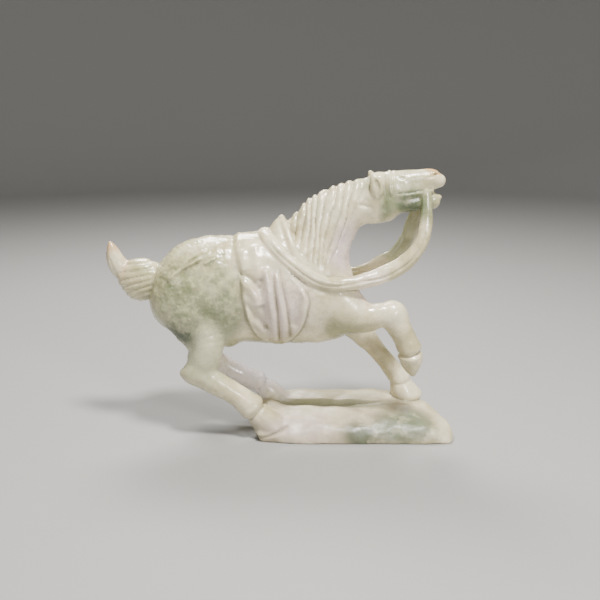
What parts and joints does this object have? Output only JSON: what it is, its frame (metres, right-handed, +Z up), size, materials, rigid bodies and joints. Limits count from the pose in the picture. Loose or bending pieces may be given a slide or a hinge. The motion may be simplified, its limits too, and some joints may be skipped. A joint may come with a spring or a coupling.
{
  "type": "jade figurine",
  "caption": "Free-standing stone carving of a rearing, saddled horse with sash-like reins, on a rock-shaped base of the same stone.",
  "frame": {"origin": "under the middle of the figurine, on the plane that it stands on", "axes": "+X the way the horse faces, +Y to the horse's left, +Z up"},
  "size_m": [0.1882, 0.0504, 0.145],
  "materials": {
    "pale_jade": "polished, waxy",
    "green_jade": "polished, waxy",
    "lavender_jade": "polished, waxy",
    "tan_jade": "polished, waxy"
  },
  "bodies": {
    "root": {"base": "pale_jade", "barrel": "pale_jade", "chest": "pale_jade", "mane": "pale_jade", "head": "pale_jade", "right_ear": "pale_jade", "left_ear": "pale_jade", "pommel": "pale_jade", "right_rein": "pale_jade", "left_rein": "pale_jade", "tail_knot": "pale_jade", "right_hind_cannon": "pale_jade", "right_hind_hoof": "pale_jade", "left_hind_cannon": "pale_jade", "left_hind_hoof": "pale_jade", "right_forearm": "pale_jade", "right_fore_cannon": "pale_jade", "right_fore_hoof": "pale_jade", "left_forearm": "pale_jade", "left_fore_cannon": "pale_jade", "left_fore_hoof": "pale_jade", "croup": "green_jade", "lower_jaw": "green_jade", "bridle": "green_jade", "crupper_strap": "green_jade", "right_thigh": "green_jade", "left_thigh": "green_jade", "neck": "lavender_jade", "saddle_cloth": "lavender_jade", "tail_tip": "tan_jade"}
  },
  "joints": []
}
